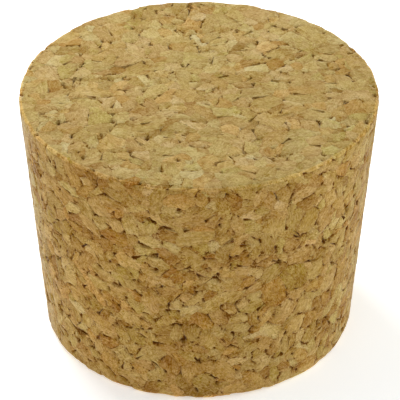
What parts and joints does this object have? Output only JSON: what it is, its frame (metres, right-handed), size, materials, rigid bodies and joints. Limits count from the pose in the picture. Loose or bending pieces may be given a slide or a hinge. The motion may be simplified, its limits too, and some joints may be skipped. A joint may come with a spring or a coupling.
{
  "type": "cork stopper",
  "caption": "Tapered plug of pressed cork grains with flat ends and slightly rounded rims, pushed into a round bottle neck or jar mouth to close it.",
  "frame": {"origin": "centre of the narrow face, which the stopper stands on", "axes": "+Z along the stopper's axis, from the narrow face to the wide face; +X and +Y lie in the narrow face"},
  "size_m": [0.0509, 0.0508, 0.038],
  "materials": {
    "cork": "matte"
  },
  "bodies": {
    "root": {"stopper": "cork"}
  },
  "joints": []
}
